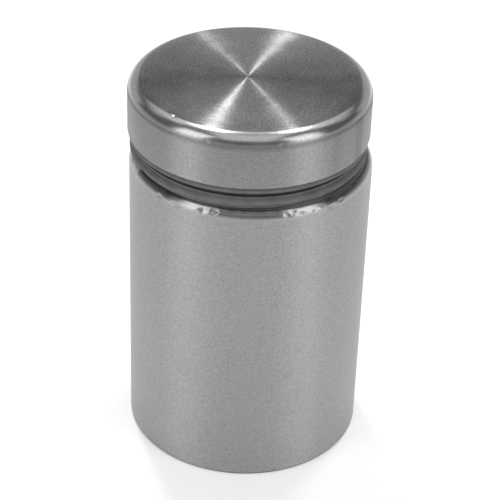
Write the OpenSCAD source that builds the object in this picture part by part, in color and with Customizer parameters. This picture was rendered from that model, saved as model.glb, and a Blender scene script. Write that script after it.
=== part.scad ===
// Glass panel standoff: a turned steel barrel that screws to a wall, and a
// turned cap that screws down on it and grips a panel between two gaskets.
// It stands on the end of the barrel that goes against the wall, and is closed.
// Millimetres. The origin is the centre of the barrel's base, with +Z upwards.

/* [Barrel] */
// Outside diameter of the barrel
barrel_d = 38; // [30:0.5:60]
// Length of the barrel
barrel_h = 50; // [42:0.5:100]
// Width of the bevel round the barrel's top edge
rim_bevel_w = 0.8; // [0.3:0.1:1.2]
// Height of the bevel round the barrel's top edge
rim_bevel_h = 0.95; // [0.3:0.05:2]
// Bevel round the barrel's base, the same both ways
base_bevel = 0.5; // [0.2:0.1:1]
// How far the stud's hole was drilled off the barrel's centre
hole_drift = 0.45; // [0:0.05:0.6]

/* [Wall fixing hole] */
// Thread diameter of the screw that fixes the barrel to the wall
wall_thread_d = 10; // [8:0.5:12]
// Length of thread in the base, mouth included
wall_thread_depth = 12; // [8:0.5:14]

/* [Cap] */
// How far the cap's side stands in from the barrel's side
cap_inset = 0.2; // [0:0.1:1]
// Thickness of the cap
cap_h = 8.7; // [7:0.1:14]
// Radius that rounds the cap's side over towards its face
cap_round = 2.3; // [0.5:0.1:3]
// Angle at which the rounding meets the face, which leaves a faint edge
cap_crease = 12; // [0:6:24]
// Bevel round the cap's foot, the same both ways
cap_foot_bevel = 0.3; // [0.1:0.1:0.6]
// Depth of the recess that seats the upper gasket
seat_depth = 0.4; // [0.2:0.1:1]

/* [Gaskets] */
// Thickness of one gasket
gasket_t = 2.2; // [1:0.1:4]
// How far the gaskets' edges stand in from the cap's side
gasket_inset = 1; // [0.6:0.1:3]
// Bevel that takes the sharp corners off a gasket's edges
gasket_soft = 0.25; // [0.1:0.05:0.4]

/* [Stud] */
// Thread diameter of the stud that joins the cap to the barrel
stud_d = 10; // [8:0.5:12]
// Length of the stud
stud_len = 30; // [20:1:32]
// Depth of the stud's hole in the cap
cap_hole_depth = 6; // [4:0.5:6]
// Bevel at each end of the stud
stud_bevel = 1; // [0.4:0.1:1.2]
// Width across the flats of the stud's key socket
socket_af = 5; // [3:0.5:5]
// Depth of the stud's key socket
socket_depth = 5; // [3:0.5:8]

/* [Fits] */
// Clearance all round a thread
thread_clearance = 0.05; // [0.02:0.01:0.1]
// Clearance all round the upper gasket in its seat
seat_clearance = 0.15; // [0.05:0.05:0.5]
// Clearance all round the stud in the gaskets' holes
gasket_clearance = 0.35; // [0.2:0.05:1]
// Room left below the stud in its hole
stud_end_room = 1.5; // [0.5:0.1:4]

/* [Hidden] */
$fn = 96;
steel = [0.72, 0.72, 0.71];
rubber = [0.42, 0.42, 0.42];

// Radii
barrel_r = barrel_d / 2;
cap_r = barrel_r - cap_inset;
gasket_r = cap_r - gasket_inset;
gasket_hole_r = stud_d / 2 + gasket_clearance;
stud_r = stud_d / 2 - thread_clearance;

// Heights, from the barrel's base upwards
lower_gasket_z = barrel_h;
upper_gasket_z = lower_gasket_z + gasket_t;
cap_z = upper_gasket_z + gasket_t - seat_depth;
stud_top_z = cap_z + cap_hole_depth;
stud_z = stud_top_z - stud_len;
stud_hole_depth = barrel_h - stud_z + stud_end_room;

// A tapped hole ends in the plain drilled hole that was cut before its thread
drill_ratio = 0.85;
drill_point_angle = 118;
thread_runout = 0.5;
mouth_bevel = 0.8;
// How far a cut starts outside the face that it goes into
cut_over = 1;
// Degrees from one point to the next round the cap's rounding
round_step = 6;

// Outline of a disc or drum: points at its bevelled foot, out to its radius
function foot(r, bevel) = [[0, 0], [r - bevel, 0], [r, bevel]];

// The space of a blind tapped hole, downwards from the face at z = 0: a bevelled
// mouth, the thread, and the end and point of the drill that went in first
module tapped_hole(thread_d, depth) {
    thread_r = thread_d / 2;
    mouth_r = thread_r + mouth_bevel;
    drill_r = thread_r * drill_ratio;
    drill_end = depth + thread_runout;
    point_h = drill_r / tan(drill_point_angle / 2);
    rotate_extrude() polygon([
        [0, cut_over],
        [mouth_r, cut_over],
        [mouth_r, 0],
        [thread_r, -mouth_bevel],
        [thread_r, -depth],
        [drill_r, -depth],
        [drill_r, -drill_end],
        [0, -drill_end - point_h]
    ]);
}

// A flat ring with softened edges, standing on z = 0
module gasket() {
    rotate_extrude() polygon([
        [gasket_hole_r, 0],
        [gasket_r - gasket_soft, 0],
        [gasket_r, gasket_soft],
        [gasket_r, gasket_t - gasket_soft],
        [gasket_r - gasket_soft, gasket_t],
        [gasket_hole_r, gasket_t]
    ]);
}

// Barrel: turned from round bar, with a tapped hole in each end
module barrel() {
    color(steel) difference() {
        rotate_extrude() polygon(concat(
            foot(barrel_r, base_bevel),
            [
                [barrel_r, barrel_h - rim_bevel_h],
                [barrel_r - rim_bevel_w, barrel_h],
                [0, barrel_h]
            ]
        ));
        rotate([180, 0, 0]) tapped_hole(wall_thread_d, wall_thread_depth);
        translate([-hole_drift, 0, barrel_h]) tapped_hole(stud_d, stud_hole_depth);
    }
}

// Gaskets: one lies on the barrel, and one sits in the cap's recess
module lower_gasket() {
    color(rubber) translate([-hole_drift, 0, lower_gasket_z]) gasket();
}

module upper_gasket() {
    color(rubber) translate([-hole_drift, 0, upper_gasket_z]) gasket();
}

// Outline of the cap: a bevelled foot, a straight side, and an arc that rounds
// it over until it meets the face at a slight angle
module cap_outline() {
    straight_h = cap_h - cap_round * cos(cap_crease);
    polygon(concat(
        foot(cap_r, cap_foot_bevel),
        [for (a = [0:round_step:90 - cap_crease])
            [cap_r - cap_round * (1 - cos(a)), straight_h + cap_round * sin(a)]],
        [[0, cap_h]]
    ));
}

// The space in the cap's underside: the gasket's seat, then the stud's hole
module cap_recess() {
    seat_r = gasket_r + seat_clearance;
    thread_r = stud_d / 2;
    rotate_extrude() polygon([
        [0, -cut_over],
        [seat_r, -cut_over],
        [seat_r, seat_depth],
        [thread_r + mouth_bevel, seat_depth],
        [thread_r, seat_depth + mouth_bevel],
        [thread_r, cap_hole_depth],
        [0, cap_hole_depth]
    ]);
}

// Cap: turned, with a gasket seat and a tapped blind hole in its underside
module cap() {
    color(steel) translate([-hole_drift, 0, cap_z]) difference() {
        rotate_extrude() cap_outline();
        cap_recess();
    }
}

// Stud: threaded rod with bevelled ends and a key socket in its lower end
module cap_stud() {
    color(steel) translate([-hole_drift, 0, stud_z]) difference() {
        rotate_extrude() polygon(concat(
            foot(stud_r, stud_bevel),
            [
                [stud_r, stud_len - stud_bevel],
                [stud_r - stud_bevel, stud_len],
                [0, stud_len]
            ]
        ));
        translate([0, 0, -cut_over])
            cylinder(d = socket_af / cos(30), h = socket_depth + cut_over, $fn = 6);
    }
}

barrel();
lower_gasket();
upper_gasket();
cap();
cap_stud();
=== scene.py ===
import math
import random

import bpy
from mathutils import Matrix, Vector


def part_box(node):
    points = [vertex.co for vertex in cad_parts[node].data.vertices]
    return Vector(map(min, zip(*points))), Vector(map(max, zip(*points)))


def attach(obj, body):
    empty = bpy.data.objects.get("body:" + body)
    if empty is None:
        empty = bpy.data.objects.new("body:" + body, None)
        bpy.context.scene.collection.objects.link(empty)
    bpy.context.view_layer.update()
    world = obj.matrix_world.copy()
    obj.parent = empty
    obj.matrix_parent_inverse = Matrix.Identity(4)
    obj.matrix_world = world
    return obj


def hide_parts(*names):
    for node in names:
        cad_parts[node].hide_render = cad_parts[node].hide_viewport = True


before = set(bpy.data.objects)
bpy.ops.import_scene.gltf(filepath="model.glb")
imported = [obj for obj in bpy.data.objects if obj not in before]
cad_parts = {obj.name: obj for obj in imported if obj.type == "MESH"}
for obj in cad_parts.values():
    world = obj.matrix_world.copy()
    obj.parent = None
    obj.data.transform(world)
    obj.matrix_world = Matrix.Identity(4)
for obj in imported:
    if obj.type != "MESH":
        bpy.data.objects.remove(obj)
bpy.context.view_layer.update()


# ---------------------------------------------------------------- Barrel
# A length of round stainless bar, faced and bevelled at both ends and brushed
# round while it spins. Each end is drilled and tapped: the base for the wall's
# bolt, and the top, a little off centre, for the cap's stud.

mm = 0.001
turn_steps = 720              # points round a turned surface

barrel_low, barrel_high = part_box("barrel")
barrel_r = (barrel_high.x - barrel_low.x) / 2
barrel_h = barrel_high.z
stud_low, stud_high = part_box("cap_stud")
cap_low, cap_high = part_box("cap")
stud_x = cap_low.x + (cap_high.x - cap_low.x) / 2

rim_bevel_w = 0.8 * mm
rim_bevel_h = 0.95 * mm
rim_outer_round = 0.55 * mm   # where the rim's bevel meets the side
rim_inner_round = 0.2 * mm    # where the rim's bevel meets the end
base_bevel = 0.5 * mm
pitch = 1.5 * mm              # of all three threads and the stud
thread_r = 5.0 * mm           # of the tapped holes, at the root of the thread
drill_r = 4.25 * mm
tap_inner_r = drill_r - 0.1 * mm
tap_flat = pitch * 0.18       # left at the root of a tapped thread
mouth_bevel = 0.8 * mm
wall_thread_depth = 12 * mm
stud_end_room = 1.5 * mm
thread_runout = 0.5 * mm
drill_half_angle = math.radians(59)
hole_steps = 96               # points round a drilled hole
thread_steps = 72             # points round a thread
touching = 1e-7               # points nearer than this are one


def finish_mesh(piece, smooth_degrees=35):
    """Clean normals, smooth shading up to an angle, and the origin at the origin."""
    bpy.ops.object.select_all(action="DESELECT")
    piece.select_set(True)
    bpy.context.view_layer.objects.active = piece
    bpy.ops.object.transform_apply(location=True, rotation=True, scale=True)
    bpy.ops.object.mode_set(mode="EDIT")
    bpy.ops.mesh.select_all(action="SELECT")
    bpy.ops.mesh.remove_doubles(threshold=touching)
    bpy.ops.mesh.normals_make_consistent(inside=False)
    bpy.ops.object.mode_set(mode="OBJECT")
    bpy.ops.object.shade_smooth_by_angle(angle=math.radians(smooth_degrees))


def add_bar(name, radius, low, high, steps=turn_steps):
    """A round bar on the origin's axis between two heights."""
    bpy.ops.object.select_all(action="DESELECT")
    bpy.ops.mesh.primitive_cylinder_add(
        vertices=steps, radius=radius, depth=high - low, end_fill_type="NGON",
        location=(0, 0, (low + high) / 2))
    bar = bpy.context.object
    bar.name = name
    bpy.ops.object.transform_apply(location=True)
    return bar


def pick(piece, mode, test):
    """In edit mode, select only the faces, edges or vertices whose middle passes."""
    bpy.ops.object.mode_set(mode="EDIT")
    bpy.ops.mesh.select_mode(type=mode)
    bpy.ops.mesh.select_all(action="DESELECT")
    bpy.ops.object.mode_set(mode="OBJECT")
    mesh = piece.data
    if mode == "FACE":
        for face in mesh.polygons:
            face.select = test(face.center, face.normal)
    elif mode == "EDGE":
        for edge in mesh.edges:
            ends = [mesh.vertices[i].co for i in edge.vertices]
            edge.select = test(ends[0], ends[1])
    else:
        for point in mesh.vertices:
            point.select = test(point.co)
    bpy.ops.object.mode_set(mode="EDIT")


def bevel_ring(piece, height, radius, width, segments, slack=0.02 * mm):
    """Rounds the sharp ring of edges at a height and radius."""
    def on_ring(a, b):
        return all(abs(p.z - height) < slack and abs(math.hypot(p.x, p.y) - radius) < slack
                   for p in (a, b))
    pick(piece, "EDGE", on_ring)
    bpy.ops.mesh.bevel(offset=width, segments=segments, profile=0.5, affect="EDGES")
    bpy.ops.object.mode_set(mode="OBJECT")


def cut(piece, tool, operation="DIFFERENCE"):
    """Takes the tool's shape out of the piece, or keeps only what both share."""
    bpy.ops.object.select_all(action="DESELECT")
    bpy.context.view_layer.objects.active = piece
    piece.select_set(True)
    change = piece.modifiers.new("cut", "BOOLEAN")
    change.operation = operation
    change.solver = "EXACT"
    change.object = tool
    bpy.ops.object.modifier_apply(modifier=change.name)
    bpy.data.objects.remove(tool)


def thread_body(name, crest_r, root_r, crest_flat, low, high):
    """A solid screw between two heights. One pitch of its outline is drawn by
    extruding a point, and turned up the axis past both ends, which are cut flat."""
    flank = (pitch - crest_flat) * 0.42
    root_flat = pitch - crest_flat - 2 * flank
    depth = crest_r - root_r
    turns = math.ceil((high - low) / pitch) + 4
    first = math.floor(low / pitch - 2) * pitch
    bpy.ops.object.select_all(action="DESELECT")
    bpy.ops.mesh.primitive_plane_add(size=mm, location=(0, 0, 0))
    screw = bpy.context.object
    screw.name = name
    bpy.ops.object.mode_set(mode="EDIT")
    bpy.ops.mesh.select_mode(type="VERT")
    bpy.ops.mesh.select_all(action="SELECT")
    bpy.ops.mesh.merge(type="CENTER")
    bpy.ops.transform.translate(value=(root_r, 0, first))
    for step in ((0, 0, root_flat / 2), (depth, 0, flank), (0, 0, crest_flat),
                 (-depth, 0, flank), (0, 0, root_flat / 2)):
        bpy.ops.mesh.extrude_region_move(TRANSFORM_OT_translate={"value": step})
    bpy.ops.object.mode_set(mode="OBJECT")
    sweep = screw.modifiers.new("sweep", "SCREW")
    sweep.axis = "Z"
    sweep.angle = math.tau
    sweep.screw_offset = pitch
    sweep.iterations = turns
    sweep.steps = sweep.render_steps = thread_steps
    sweep.use_merge_vertices = False
    bpy.ops.object.modifier_apply(modifier=sweep.name)
    bpy.ops.object.mode_set(mode="EDIT")
    bpy.ops.mesh.select_all(action="SELECT")
    bpy.ops.mesh.remove_doubles(threshold=20 * touching)
    for level, way in ((low, -1), (high, 1)):
        bpy.ops.mesh.select_all(action="SELECT")
        bpy.ops.mesh.bisect(plane_co=(0, 0, level), plane_no=(0, 0, way),
                            use_fill=True, clear_outer=True, threshold=touching)
    bpy.ops.mesh.select_all(action="SELECT")
    bpy.ops.mesh.normals_make_consistent(inside=False)
    bpy.ops.object.mode_set(mode="OBJECT")
    return screw


def drill(name, radius, low, high, point_down):
    """The shape a drill leaves: a round hole that ends in a blunt cone."""
    bit = add_bar(name, radius, low, high, hole_steps)
    point_h = radius / math.tan(drill_half_angle)
    end, tip = (low, low - point_h) if point_down else (high, high + point_h)
    pick(bit, "FACE", lambda c, n: abs(c.z - end) < 1e-6 and abs(n.z) > 0.9)
    bpy.ops.mesh.inset(thickness=radius * 0.3)
    bpy.ops.mesh.merge(type="CENTER")
    bpy.ops.transform.translate(value=(0, 0, tip - end))
    bpy.ops.object.mode_set(mode="OBJECT")
    return bit


def place_tool(tool, x):
    """Moves a cutting tool sideways on to its hole's axis."""
    bpy.ops.object.select_all(action="DESELECT")
    bpy.context.view_layer.objects.active = tool
    tool.select_set(True)
    tool.location.x = x
    bpy.ops.object.transform_apply(location=True)
    return tool


barrel = add_bar("barrel_body", barrel_r, 0, barrel_h)

# The rim's bevel: the top is drawn in, and the edge that it leaves is pushed down
pick(barrel, "FACE", lambda c, n: n.z > 0.9)
bpy.ops.mesh.inset(thickness=rim_bevel_w)
bpy.ops.object.mode_set(mode="OBJECT")
pick(barrel, "VERT", lambda p: p.z > barrel_h - 1e-6 and math.hypot(p.x, p.y) > barrel_r - 1e-5)
bpy.ops.transform.translate(value=(0, 0, -rim_bevel_h))
bpy.ops.object.mode_set(mode="OBJECT")
bevel_ring(barrel, 0, barrel_r, base_bevel, 4)
bevel_ring(barrel, barrel_h - rim_bevel_h, barrel_r, rim_outer_round, 8)
bevel_ring(barrel, barrel_h, barrel_r - rim_bevel_w, rim_inner_round, 3)

# Rings of points near the rim, in mm up, for the knocks that it has taken
knock_rings = (47.6, 48.0, 48.3, 48.6, 48.8, 49.2, 49.35, 49.5, 49.65, 49.8)
for ring_z in knock_rings:
    bpy.ops.object.select_all(action="DESELECT")
    bpy.context.view_layer.objects.active = barrel
    bpy.ops.object.mode_set(mode="EDIT")
    bpy.ops.mesh.select_all(action="SELECT")
    bpy.ops.mesh.bisect(plane_co=(0, 0, ring_z * mm), plane_no=(0, 0, 1))
    bpy.ops.object.mode_set(mode="OBJECT")


def knock(piece, degrees, z, radius, wide, high, inwards, downwards):
    """Pushes a small patch of a turned piece in and down, in three steps to its
    middle. Degrees run round from the front, towards the right; the rest is in mm."""
    a = math.radians(degrees)
    outward = Vector((math.sin(a), -math.cos(a), 0))
    along = Vector((math.cos(a), math.sin(a), 0))
    middle = outward * radius * mm + Vector((0, 0, z * mm))
    push = -outward * inwards * mm / 3 - Vector((0, 0, downwards * mm / 3))
    for reach in (1.0, 0.72, 0.42):
        def inside(p):
            off = p - middle
            return (math.hypot(off.dot(along) / wide, off.z / high,
                               off.dot(outward) / high) < reach * mm)
        pick(piece, "VERT", inside)
        if piece.data.total_vert_sel:
            bpy.ops.transform.translate(value=push)
        bpy.ops.object.mode_set(mode="OBJECT")


# (degrees, height, radius, half width, half height, push in, push down)
knocks = (
    (-16.0, 49.45, 18.65, 0.55, 0.40, 0.35, 0.05),
    (-21.5, 49.35, 18.75, 0.90, 0.35, 0.08, 0.05),
    (-36.0, 48.85, 19.00, 1.10, 0.40, 0.14, 0.06),
    (-46.0, 49.00, 18.95, 0.60, 0.35, 0.10, 0.04),
    (17.5, 49.35, 18.75, 0.50, 0.35, 0.09, -0.03),
    (20.5, 49.55, 18.60, 0.60, 0.35, 0.08, 0.06),
    (24.0, 49.25, 18.80, 0.80, 0.35, 0.09, 0.03),
    (28.5, 49.45, 18.65, 0.50, 0.30, 0.08, -0.03),
    (31.5, 49.20, 18.85, 0.45, 0.30, 0.08, 0.05),
    (41.0, 48.95, 19.00, 0.90, 0.35, 0.12, 0.05),
    (47.0, 49.20, 18.85, 0.60, 0.30, 0.09, 0.06),
)
for entry in knocks:
    knock(barrel, *entry)
# Small ones, scattered: (from degrees, to degrees, count)
scatter = random.Random(11)
scattered = ((-180, 180, 22), (-31, -14, 9), (14, 36, 9))
for low, high, count in scattered:
    for turn in range(count):
        knock(barrel, scatter.uniform(low, high), scatter.uniform(49.0, 49.6), 18.8,
              scatter.uniform(0.3, 0.9), scatter.uniform(0.2, 0.35),
              scatter.uniform(-0.02, 0.06), scatter.uniform(-0.05, 0.04))

# A burr left standing on the rim where the tool came off it
burr_from, burr_to = -75.5, -66      # degrees round from the front
burr_r = 18.5 * mm
burr_half_w = 0.4 * mm
burr_foot = 49.3 * mm


def on_burr(c, n):
    """Whether a face of the rim lies where the burr grows."""
    return (burr_from < math.degrees(math.atan2(c.x, -c.y)) < burr_to
            and burr_r - burr_half_w < math.hypot(c.x, c.y) < burr_r + burr_half_w
            and c.z > burr_foot)


pick(barrel, "FACE", on_burr)
burr_middle = (-burr_r * math.sin(math.radians(71)),
               -burr_r * math.cos(math.radians(71)), barrel_h)
for rise, shrink in ((0.25 * mm, 0.94), (0.20 * mm, 0.86)):
    bpy.ops.mesh.extrude_region_move(TRANSFORM_OT_translate={"value": (0.1 * mm, 0, rise)})
    bpy.ops.transform.resize(value=(shrink, shrink, 1), center_override=burr_middle)
    bpy.ops.transform.vertex_random(offset=0.06 * mm, seed=5)
bpy.ops.object.mode_set(mode="OBJECT")

# The two tapped holes
stud_hole_floor = stud_low.z - stud_end_room
cut(barrel, drill("wall_drill", drill_r, -mm, wall_thread_depth + thread_runout, False))
cut(barrel, thread_body("wall_tap", thread_r, tap_inner_r, tap_flat, -mm, wall_thread_depth))
cut(barrel, place_tool(drill("stud_drill", drill_r, stud_hole_floor - thread_runout,
                             barrel_h + mm, True), stud_x))
cut(barrel, place_tool(thread_body("stud_tap", thread_r, tap_inner_r, tap_flat,
                                   stud_hole_floor, barrel_h + mm), stud_x))


def countersink(x, z, downwards):
    """A cone that bevels a tapped hole's mouth, from just outside the face."""
    bpy.ops.object.select_all(action="DESELECT")
    wide, narrow = thread_r + mouth_bevel + mm, thread_r - mm
    depth = wide - narrow
    middle = z + (mm - depth / 2) * (1 if downwards else -1)
    bpy.ops.mesh.primitive_cone_add(
        vertices=hole_steps, radius1=narrow if downwards else wide,
        radius2=wide if downwards else narrow, depth=depth, location=(x, 0, middle))
    bpy.ops.object.transform_apply(location=True)
    return bpy.context.object


cut(barrel, countersink(0, 0, False))
cut(barrel, countersink(stud_x, barrel_h, True))
finish_mesh(barrel)


def brushed_steel(name, colour, roughness, spread, axis=(0, 0, 0), mottle=0.06, grain=0.45,
                  worn=None, painted_shade=None, dirt_and_shade=None, polished=(), painted_dark_bands=(), scratches=(),
                  relief_strength=0.25):
    """Stainless steel with fine scratches that run round an axis: anisotropic
    gloss along them, streaks drawn out along them, and soft cloudy patches. Heights
    and radii say where it is duller (worn), darker by painted shade, or darker by dirt and
    painted shade;
    degrees round from the front say where that dirt and shade are left off and where painted dark
    bands fall."""
    material = bpy.data.materials.new(name)
    material.use_nodes = True
    nodes = material.node_tree.nodes
    join = material.node_tree.links.new
    steel = nodes["Principled BSDF"]
    steel.inputs["Metallic"].default_value = 1.0
    steel.inputs["Anisotropic"].default_value = spread
    steel.inputs["Anisotropic Rotation"].default_value = 0.25

    def vector(operation, a, b=None):
        node = nodes.new("ShaderNodeVectorMath")
        node.operation = operation
        for socket, value in zip(node.inputs, (a, b)):
            if value is None:
                continue
            if isinstance(value, tuple):
                socket.default_value = value
            else:
                join(value, socket)
        scalar = operation in ("LENGTH", "DOT_PRODUCT")
        return node.outputs["Value" if scalar else "Vector"]

    def maths(operation, a, b=0.0):
        node = nodes.new("ShaderNodeMath")
        node.operation = operation
        for socket, value in zip(node.inputs, (a, b)):
            if isinstance(value, (int, float)):
                socket.default_value = value
            else:
                join(value, socket)
        return node.outputs[0]

    def noise(where, along, scale, detail, rough):
        node = nodes.new("ShaderNodeTexNoise")
        node.noise_dimensions = "4D"
        join(where, node.inputs["Vector"])
        if along is not None:
            join(along, node.inputs["W"])
        node.inputs["Scale"].default_value = scale
        node.inputs["Detail"].default_value = detail
        node.inputs["Roughness"].default_value = rough
        return node.outputs["Fac"]

    place = nodes.new("ShaderNodeTexCoord").outputs["Object"]
    from_axis = vector("SUBTRACT", place, axis)
    flat = vector("MULTIPLY", from_axis, (1, 1, 0))
    outward = vector("NORMALIZE", flat)
    round_way = vector("NORMALIZE", vector("CROSS_PRODUCT", (0, 0, 1), from_axis))
    to_world = nodes.new("ShaderNodeVectorTransform")
    to_world.vector_type = "VECTOR"
    to_world.convert_from = "OBJECT"
    to_world.convert_to = "WORLD"
    join(round_way, to_world.inputs[0])
    join(to_world.outputs[0], steel.inputs["Tangent"])

    radius = vector("LENGTH", flat)
    split = nodes.new("ShaderNodeSeparateXYZ")
    join(from_axis, split.inputs[0])
    streak_place = nodes.new("ShaderNodeCombineXYZ")
    arc = nodes.new("ShaderNodeSeparateXYZ")
    join(vector("MULTIPLY", outward, (8, 8, 0)), arc.inputs[0])
    join(arc.outputs["X"], streak_place.inputs["X"])
    join(arc.outputs["Y"], streak_place.inputs["Y"])
    join(maths("MULTIPLY", radius, 4000), streak_place.inputs["Z"])
    streaks = noise(streak_place.outputs[0], maths("MULTIPLY", split.outputs["Z"], 4000),
                    1.0, 3.0, 0.6)
    clouds = noise(place, None, 260, 3.0, 0.55)

    def around(value, middle, swing):
        return maths("ADD", maths("MULTIPLY", maths("SUBTRACT", value, 0.5), swing), middle)

    def zone(value, low, high):
        node = nodes.new("ShaderNodeMapRange")
        node.interpolation_type = "SMOOTHSTEP"
        join(value, node.inputs["Value"])
        node.inputs["From Min"].default_value = low
        node.inputs["From Max"].default_value = high
        return node.outputs["Result"]

    gloss = maths("ADD", around(streaks, roughness, 0.10), around(clouds, 0, 0.10))
    shade = maths("MULTIPLY", around(streaks, 1, mottle), around(clouds, 1, mottle))
    shade = maths("MULTIPLY", shade, around(noise(place, None, 3000, 2.0, 0.6), 1, grain))
    bearing = maths("MULTIPLY", maths("ARCTAN2", split.outputs["X"],
                                      maths("MULTIPLY", split.outputs["Y"], -1)), 180 / math.pi)

    def sector(middle, half_width):
        off = maths("ABSOLUTE", maths("SUBTRACT", bearing, middle))
        return zone(off, half_width * 1.3, half_width * 0.5)

    def darkened(shade, where, loss):
        kept = maths("SUBTRACT", 1.0, maths("MULTIPLY", where, loss))
        return maths("MULTIPLY", shade, kept)

    # Painted dark bands: reflected shadow painted into the colour, in sectors round the axis
    for middle, half_width, loss in painted_dark_bands:
        shade = darkened(shade, sector(middle, half_width), loss)
    for start, end, gain in scratches:
        line = Vector(end) - Vector(start)
        way = line.normalized()
        half = line.length * mm / 2
        off = vector("SUBTRACT", place, tuple(c * mm for c in start))
        sideways = maths("ABSOLUTE", vector("DOT_PRODUCT", off, (way.y, -way.x, 0)))
        along = maths("ABSOLUTE", maths("SUBTRACT", vector("DOT_PRODUCT", off, tuple(way)), half))
        where = maths("MULTIPLY", zone(sideways, 0.11 * mm, 0.03 * mm),
                      zone(along, half, half * 0.6))
        shade = maths("MULTIPLY", shade, maths("ADD", 1.0, maths("MULTIPLY", where, gain)))
    if worn:
        low, high, change = worn
        where = zone(split.outputs["Z"], low, high)
        gloss = maths("ADD", gloss, maths("MULTIPLY", where, change))
    # Painted shade: the colour is darker over a range of heights
    if painted_shade:
        low, high, loss = painted_shade
        shade = darkened(shade, zone(split.outputs["Z"], low, high), loss)
    # Dirt and painted shade: darker towards a radius above a height, patchy, and left off in the
    # clear sectors
    if dirt_and_shade:
        height, clear_radius, darkest_radius, loss = dirt_and_shade
        patchy = zone(noise(place, None, 900, 3.0, 0.6), 0.3, 0.7)
        where = maths("MULTIPLY", zone(split.outputs["Z"], height - 0.05 * mm, height + 0.1 * mm),
                      zone(radius, clear_radius, darkest_radius))
        lost = maths("MULTIPLY", where, around(patchy, loss, 0.2))
        for middle, half_width in polished:
            lost = maths("MULTIPLY", lost, maths("SUBTRACT", 1.0, sector(middle, half_width)))
        shade = maths("MULTIPLY", shade, maths("SUBTRACT", 1.0, lost))
    join(gloss, steel.inputs["Roughness"])
    tint = nodes.new("ShaderNodeVectorMath")
    tint.operation = "SCALE"
    tint.inputs[0].default_value = colour
    join(shade, tint.inputs["Scale"])
    join(tint.outputs[0], steel.inputs["Base Color"])

    relief = nodes.new("ShaderNodeBump")
    relief.inputs["Strength"].default_value = relief_strength
    relief.inputs["Distance"].default_value = 0.01 * mm
    join(streaks, relief.inputs["Height"])
    join(relief.outputs[0], steel.inputs["Normal"])
    return material


def second_finish(piece, material, test):
    """Gives the faces whose middle passes one more material of a piece."""
    piece.data.materials.append(material)
    for face in piece.data.polygons:
        if test(face.center):
            face.material_index = len(piece.data.materials) - 1


# Its bottom edge is darkened by painted shade: the floor's contact shadow, painted into the
# colour.
barrel_steel = brushed_steel("barrel_steel", (0.395, 0.395, 0.39), 0.46, 0.85, mottle=0.16,
                             grain=0.8, painted_shade=(0.55 * mm, 0.30 * mm, 0.55))
# Its colour holds dirt and painted shade, darkest next to the gasket under the cap; both are left
# off in two sectors where the rim catches the light.
rim_steel = brushed_steel(
    "rim_steel", (0.41, 0.41, 0.405), 0.30, 0.6,
    dirt_and_shade=(48.8 * mm, 19.02 * mm, 18.2 * mm, 0.68),
    polished=((-23, 9), (25, 10)),
    worn=(49.3 * mm, 48.6 * mm, 0.16))
barrel.data.materials.append(barrel_steel)
second_finish(barrel, rim_steel, lambda c: c.z > barrel_h - rim_bevel_h - 0.45 * mm
              and math.hypot(c.x, c.y) > barrel_r - rim_bevel_w - 0.3 * mm)
burr_steel = brushed_steel("burr_steel", (0.27, 0.27, 0.265), 0.62, 0.0, mottle=0.3, grain=1.2)
second_finish(barrel, burr_steel, lambda c: c.z > barrel_h + 0.02 * mm)
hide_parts("barrel")
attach(barrel, "barrel")


# ---------------------------------------------------------------- Gaskets
# Two punched rings of grey rubber sheet. One lies on the barrel and one sits in
# the cap's underside; a panel goes between them, and here they meet.

gasket_hole_r = 5.35 * mm
gasket_edge = 0.38 * mm       # rounded off each edge
gasket_steps = 256            # points round a gasket
bulge = 0.3 * mm
bulge_steps = 6


def gasket(name, node, body, edge, bare_top):
    """A rubber ring with rounded edges, whose bare side bulges where it is squeezed."""
    low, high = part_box(node)
    radius = (high.x - low.x) / 2
    ring = add_bar(name, radius, low.z, high.z, gasket_steps)
    pick(ring, "FACE", lambda c, n: abs(n.z) > 0.9)
    bpy.ops.mesh.inset(thickness=radius - gasket_hole_r)
    bpy.ops.mesh.bridge_edge_loops()
    bpy.ops.object.mode_set(mode="OBJECT")
    bevel_ring(ring, high.z, radius, edge, 4)
    bevel_ring(ring, low.z, radius, edge, 4)
    bare_low, bare_high = low.z + edge, bare_top - edge
    for step in range(1, bulge_steps):
        bpy.ops.object.mode_set(mode="EDIT")
        bpy.ops.mesh.select_all(action="SELECT")
        level = bare_low + (bare_high - bare_low) * (step / bulge_steps)
        bpy.ops.mesh.bisect(plane_co=(0, 0, level), plane_no=(0, 0, 1))
        bpy.ops.object.mode_set(mode="OBJECT")
        swollen = 1 + bulge / radius * math.sin(math.pi * step / bulge_steps)
        pick(ring, "VERT", lambda p: abs(p.z - level) < 1e-6
             and math.hypot(p.x, p.y) > radius - 1e-5)
        bpy.ops.transform.resize(value=(swollen, swollen, 1), center_override=(0, 0, level))
        bpy.ops.object.mode_set(mode="OBJECT")
    place_tool(ring, stud_x)
    finish_mesh(ring, 50)
    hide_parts(node)
    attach(ring, body)
    return ring


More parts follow.
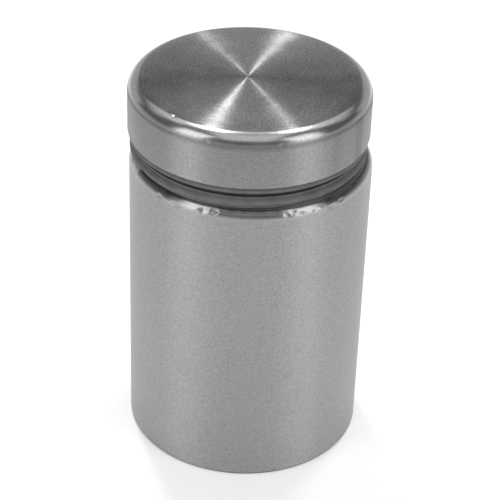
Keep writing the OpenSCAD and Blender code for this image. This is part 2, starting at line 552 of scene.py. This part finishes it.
def grey_rubber(name, colour, joint_shade_low, joint_shade_high, joint_shade_loss):
    """Matt rubber sheet: fine grain, a slightly paler bloom in patches, and painted shade
    in the groove where the two rings meet."""
    material = bpy.data.materials.new(name)
    material.use_nodes = True
    nodes = material.node_tree.nodes
    join = material.node_tree.links.new
    rubber = nodes["Principled BSDF"]
    rubber.inputs["Roughness"].default_value = 0.62
    place = nodes.new("ShaderNodeTexCoord").outputs["Object"]
    bloom = nodes.new("ShaderNodeTexNoise")
    bloom.inputs["Scale"].default_value = 500
    bloom.inputs["Detail"].default_value = 4
    join(place, bloom.inputs["Vector"])
    tone = nodes.new("ShaderNodeValToRGB")
    tone.color_ramp.elements[0].position = 0.3
    tone.color_ramp.elements[0].color = (*[c * 0.8 for c in colour], 1)
    tone.color_ramp.elements[1].position = 0.75
    tone.color_ramp.elements[1].color = (*[c * 1.25 for c in colour], 1)
    join(bloom.outputs["Fac"], tone.inputs["Fac"])
    split = nodes.new("ShaderNodeSeparateXYZ")
    join(place, split.inputs[0])
    unshaded = None
    for start, end in ((joint_shade_low - 0.08 * mm, joint_shade_low + 0.06 * mm),
                       (joint_shade_high + 0.15 * mm, joint_shade_high - 0.05 * mm)):
        edge = nodes.new("ShaderNodeMapRange")
        edge.interpolation_type = "SMOOTHSTEP"
        edge.inputs["From Min"].default_value = start
        edge.inputs["From Max"].default_value = end
        join(split.outputs["Z"], edge.inputs["Value"])
        if unshaded is None:
            unshaded = edge.outputs["Result"]
            continue
        both = nodes.new("ShaderNodeMath")
        both.operation = "MULTIPLY"
        join(unshaded, both.inputs[0])
        join(edge.outputs["Result"], both.inputs[1])
        unshaded = both.outputs[0]
    kept = nodes.new("ShaderNodeMath")
    kept.operation = "MULTIPLY_ADD"
    join(unshaded, kept.inputs[0])
    kept.inputs[1].default_value = -joint_shade_loss
    kept.inputs[2].default_value = 1.0
    shaded = nodes.new("ShaderNodeVectorMath")
    shaded.operation = "SCALE"
    join(tone.outputs["Color"], shaded.inputs[0])
    join(kept.outputs[0], shaded.inputs["Scale"])
    join(shaded.outputs[0], rubber.inputs["Base Color"])
    grain = nodes.new("ShaderNodeTexNoise")
    grain.inputs["Scale"].default_value = 6000
    grain.inputs["Detail"].default_value = 2
    join(place, grain.inputs["Vector"])
    relief = nodes.new("ShaderNodeBump")
    relief.inputs["Strength"].default_value = 0.5
    relief.inputs["Distance"].default_value = 0.02 * mm
    join(grain.outputs["Fac"], relief.inputs["Height"])
    join(relief.outputs[0], rubber.inputs["Normal"])
    return material


gasket_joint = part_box("lower_gasket")[1].z
# Painted shade darkens the rubber from just below the joint of the two rings to 0.7 mm above it.
gasket_rubber = grey_rubber("gasket_rubber", (0.19, 0.19, 0.19), gasket_joint - 0.1 * mm,
                            gasket_joint + 0.70 * mm, 0.85)
lower_gasket = gasket("lower_gasket_ring", "lower_gasket", "barrel", gasket_edge, gasket_joint)
upper_gasket = gasket("upper_gasket_ring", "upper_gasket", "upper_gasket", gasket_edge,
                      cap_low.z)
lower_gasket.data.materials.append(gasket_rubber)
upper_gasket.data.materials.append(gasket_rubber)


# ---------------------------------------------------------------- Cap
# A stainless disc turned from bar. Its face is brushed in rings and rounds over
# into its side; its underside has a shallow seat for the gasket and a blind
# tapped hole for the stud.

cap_r = (cap_high.x - cap_low.x) / 2
cap_round = 2.3 * mm
cap_crease = math.radians(12)     # left between the rounding and the face
cap_foot_bevel = 0.3 * mm
round_steps = 22
gasket_inset = 1.0 * mm
seat_clearance = 0.15 * mm
seat_r = cap_r - gasket_inset + seat_clearance
seat_depth = 0.4 * mm

# The face rolls down a little towards its edge: (radius, drop), in mm
face_drop = 0.045 * mm
face_roll = ((15.2, 0.0), (15.7, 0.004), (16.1, 0.011), (16.5, 0.023), (16.8, 0.036))
straight_z = cap_high.z - face_drop - cap_round * math.cos(cap_crease)
rings = []
for step in range(1, round_steps + 1):
    rounded = (math.pi / 2 - cap_crease) * step / round_steps
    rings.append((cap_r - cap_round * (1 - math.cos(rounded)),
                  straight_z + cap_round * math.sin(rounded)))
edge_r, edge_z = rings[-1]
for roll_r, drop in reversed(face_roll):
    rings.append((roll_r * mm, cap_high.z - drop * mm))

cap = add_bar("cap_disc", cap_r, cap_low.z, straight_z)
pick(cap, "FACE", lambda c, n: n.z > 0.9)
last_r, last_z = cap_r, straight_z
for next_r, next_z in rings:
    bpy.ops.mesh.extrude_region_move(
        TRANSFORM_OT_translate={"value": (0, 0, next_z - last_z)})
    bpy.ops.transform.resize(value=(next_r / last_r, next_r / last_r, 1),
                             center_override=(0, 0, next_z))
    last_r, last_z = next_r, next_z
bpy.ops.object.mode_set(mode="OBJECT")
bevel_ring(cap, edge_z, edge_r, 0.05 * mm, 2, 0.005 * mm)
bevel_ring(cap, cap_low.z, cap_r, cap_foot_bevel, 4)

# Two light knocks on the rounding and one on the face's edge, as the barrel's
cap_knocks = (
    (15.6, 61.3, 18.60, 0.40, 0.25, 0.05, 0.0),
    (-19.0, 61.2, 18.65, 0.45, 0.25, 0.05, 0.0),
    (-40.0, 62.6, 16.95, 0.35, 0.30, 0.0, 0.06),
)
for entry in cap_knocks:
    knock(cap, *entry)

# The seat and the blind tapped hole
cut(cap, add_bar("seat_cutter", seat_r, cap_low.z - mm, cap_low.z + seat_depth))
cut(cap, thread_body("cap_tap", thread_r, tap_inner_r, tap_flat, cap_low.z - mm, stud_high.z))
cut(cap, add_bar("cap_drill", drill_r, cap_low.z - mm, stud_high.z, hole_steps))
cut(cap, countersink(0, cap_low.z + seat_depth, False))
place_tool(cap, stud_x)
finish_mesh(cap, 30)

ring_centre = (stud_x - 0.43 * mm, 0.05 * mm, 0)     # of the face's brushing
cap_steel = brushed_steel("cap_steel", (0.42, 0.42, 0.415), 0.20, 1.0, axis=ring_centre,
                          mottle=0.22, grain=1.6, relief_strength=0.0,
                          scratches=(((-13.4, 2.2, 0), (-10.6, 1.6, 0), 0.35),
                                     ((-4.0, 12.6, 0), (-6.5, 13.4, 0), 0.25)))
# Its lower rounding is darkened by painted shade: a dark reflection painted into the colour.
cap_round_steel = brushed_steel(
    "cap_round_steel", (0.41, 0.41, 0.405), 0.23, 0.6,
    worn=(cap_high.z - 1.0 * mm, cap_high.z - 1.6 * mm, 0.16),
    painted_shade=(cap_high.z - 1.0 * mm, cap_high.z - 1.5 * mm, 0.25))
# Its top, under the rounding, and two bands on the right are darkened by painted shade: dark
# reflections painted into the colour.
cap_side_steel = brushed_steel(
    "cap_side_steel", (0.385, 0.385, 0.38), 0.50, 0.95, mottle=0.10,
    grain=0.8, painted_dark_bands=((43, 3, 0.07), (61, 4, 0.20)),
    painted_shade=(cap_high.z - 2.6 * mm, cap_high.z - 1.8 * mm, 0.25))
cap.data.materials.append(cap_steel)
side_top = cap_high.z - 1.6 * mm
side_low = cap_low.z + 0.01 * mm
side_r = edge_r + 0.03 * mm
second_finish(cap, cap_round_steel, lambda c: c.z > side_top
              and math.hypot(c.x - stud_x, c.y) > side_r)
second_finish(cap, cap_side_steel, lambda c: side_low < c.z < side_top
              and math.hypot(c.x - stud_x, c.y) > side_r)
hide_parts("cap")
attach(cap, "cap")


# ---------------------------------------------------------------- Cap stud
# A length of M10 threaded rod with bevelled ends, screwed hard into the cap. A
# key socket in its lower end is what it was driven by.

stud_r = (stud_high.y - stud_low.y) / 2
stud_root_r = 4.1 * mm
stud_crest = pitch * 0.12
stud_bevel = 1.0 * mm
blank_r = stud_r + 0.001 * mm
socket_af = 5 * mm
socket_depth = 5 * mm

stud = thread_body("threaded_stud", stud_r, stud_root_r, stud_crest,
                   stud_low.z - mm, stud_high.z + mm)
blank = add_bar("stud_blank", blank_r, stud_low.z, stud_high.z, hole_steps)
bevel_ring(blank, stud_low.z, blank_r, stud_bevel, 1)
bevel_ring(blank, stud_high.z, blank_r, stud_bevel, 1)
cut(stud, blank, "INTERSECT")
cut(stud, add_bar("key", socket_af / 2 / math.cos(math.pi / 6), stud_low.z - mm,
                  stud_low.z + socket_depth, 6))
place_tool(stud, stud_x)
finish_mesh(stud, 30)
stud_steel = brushed_steel("stud_steel", (0.42, 0.42, 0.415), 0.34, 0.4, axis=(stud_x, 0, 0))
stud.data.materials.append(stud_steel)
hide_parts("cap_stud")
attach(stud, "cap")


# ---------------------------------------------------------------- Studio
# A white paper sweep that curves up into a low wall all round, open above, with
# soft lamps over it, and the camera.

def white_paper():
    """Matt white paper that the camera and gloss see as white outside its shadows."""
    material = bpy.data.materials.new("white_paper")
    material.use_nodes = True
    nodes = material.node_tree.nodes
    join = material.node_tree.links.new
    nodes.remove(nodes["Principled BSDF"])
    matt = nodes.new("ShaderNodeBsdfDiffuse")
    matt.inputs["Color"].default_value = (0.8, 0.8, 0.8, 1)
    glow = nodes.new("ShaderNodeEmission")
    glow.inputs["Strength"].default_value = 0.40
    both = nodes.new("ShaderNodeAddShader")
    join(matt.outputs[0], both.inputs[0])
    join(glow.outputs[0], both.inputs[1])
    path = nodes.new("ShaderNodeLightPath")
    seen = nodes.new("ShaderNodeMath")
    seen.operation = "MAXIMUM"
    join(path.outputs["Is Camera Ray"], seen.inputs[0])
    join(path.outputs["Is Glossy Ray"], seen.inputs[1])
    mix = nodes.new("ShaderNodeMixShader")
    join(seen.outputs[0], mix.inputs[0])
    join(matt.outputs[0], mix.inputs[1])
    join(both.outputs[0], mix.inputs[2])
    join(mix.outputs[0], nodes["Material Output"].inputs["Surface"])
    return material


sweep_r = 2.5
sweep_bend = 0.3
wall_h = 0.5
bpy.ops.object.select_all(action="DESELECT")
bpy.ops.mesh.primitive_cylinder_add(vertices=128, radius=sweep_r, depth=wall_h,
                                    location=(0, 0, wall_h / 2))
sweep = bpy.context.object
sweep.name = "paper_sweep"
bpy.ops.object.transform_apply(location=True)
pick(sweep, "FACE", lambda c, n: n.z > 0.9)
bpy.ops.mesh.delete(type="FACE")
bpy.ops.object.mode_set(mode="OBJECT")
bevel_ring(sweep, 0, sweep_r, sweep_bend, 12, 1e-4)
bpy.ops.object.shade_smooth_by_angle(angle=math.radians(40))
paper = white_paper()
sweep.data.materials.append(paper)

backdrop_r = 2.3
backdrop_h = 1.15
bpy.ops.object.select_all(action="DESELECT")
bpy.ops.mesh.primitive_cylinder_add(vertices=128, radius=backdrop_r, depth=backdrop_h,
                                    end_fill_type="NOTHING", location=(0, 0, backdrop_h / 2))
backdrop = bpy.context.object
backdrop.name = "backdrop"
bpy.ops.object.transform_apply(location=True)
pick(backdrop, "FACE", lambda c, n: c.y < backdrop_r * 0.5)
bpy.ops.mesh.delete(type="FACE")
bpy.ops.object.mode_set(mode="OBJECT")
backdrop.data.materials.append(paper)


def softbox(name, way, along, distance, length, width, radiance):
    """A rectangular lamp in a direction from the cap, facing it, with its long
    side along another direction, and as bright as its radiance says."""
    lamp = bpy.data.lights.new(name, "AREA")
    lamp.shape = "RECTANGLE"
    lamp.size = length
    lamp.size_y = width
    lamp.energy = radiance * math.pi * length * width
    back = Vector(way).normalized()
    side = Vector(along)
    side = (side - back * side.dot(back)).normalized()
    turn = Matrix((side, back.cross(side), back)).transposed().to_4x4()
    holder = bpy.data.objects.new(name, lamp)
    bpy.context.scene.collection.objects.link(holder)
    target = Vector((0, 0, cap_high.z))
    holder.matrix_world = Matrix.Translation(target + back * distance) @ turn


softbox("left_lamp", (-0.160, 0.45, 0.879), (0.414, 1, -0.437), 1.2, 0.16, 0.07, 108)
softbox("right_lamp_a", (0.236, 0.40, 0.886), (-0.541, 1, -0.307), 1.2, 0.16, 0.018, 248)
softbox("right_lamp_b", (0.159, 0.40, 0.903), (-0.364, 1, -0.379), 1.2, 0.16, 0.018, 30)
softbox("ceiling_panel", (0, -0.50, 1.3), (1, 0, 0), 1.39, 1.0, 1.2, 0.9)
softbox("top_panel", (0, 0.50, 0.866), (1, 0, 0), 1.3, 1.7, 0.8, 0.72)
softbox("left_strip", (-0.72, -0.48, 0.5), (0, 0, 1), 1.3, 1.1, 0.6, 2.0)
softbox("right_strip", (0.72, -0.48, 0.5), (0, 0, 1), 1.3, 1.1, 0.6, 2.0)
softbox("left_back_fill", (-0.6, 0.33, 0.73), (0, 0, 1), 1.3, 0.6, 0.4, 0.5)
softbox("right_back_fill", (0.6, 0.33, 0.73), (0, 0, 1), 1.3, 0.6, 0.4, 0.5)

world = bpy.data.worlds.new("room")
bpy.context.scene.world = world
world.use_nodes = True
world.node_tree.nodes["Background"].inputs["Color"].default_value = (1, 1, 1, 1)
world.node_tree.nodes["Background"].inputs["Strength"].default_value = 0.15

# The camera looks down at the object, leaning two degrees to one side. Its lens
# is long: several widths of its film
camera_elevation = math.radians(33.224)
camera_distance = 15.17 * barrel_r
camera_roll = math.radians(1.995)
camera_yaw = math.radians(0.076)
look_at = Vector((0, 0, 1.643 * barrel_r))

lens = bpy.data.cameras.new("camera")
lens.sensor_width = 36
lens.lens = 3.5654 * lens.sensor_width
camera = bpy.data.objects.new("camera", lens)
bpy.context.scene.collection.objects.link(camera)
forward = Vector((0, math.cos(camera_elevation), -math.sin(camera_elevation)))
right = Vector((1, 0, 0))
up = right.cross(forward)
position = look_at - forward * camera_distance
forward, right = (forward * math.cos(camera_yaw) + right * math.sin(camera_yaw),
                  right * math.cos(camera_yaw) - forward * math.sin(camera_yaw))
right, up = (right * math.cos(camera_roll) + up * math.sin(camera_roll),
             up * math.cos(camera_roll) - right * math.sin(camera_roll))
turn = Matrix((right, up, -forward)).transposed().to_4x4()
camera.matrix_world = Matrix.Translation(position) @ turn
lens.clip_start = 0.01
bpy.context.scene.camera = camera
bpy.context.scene.view_settings.view_transform = "Standard"
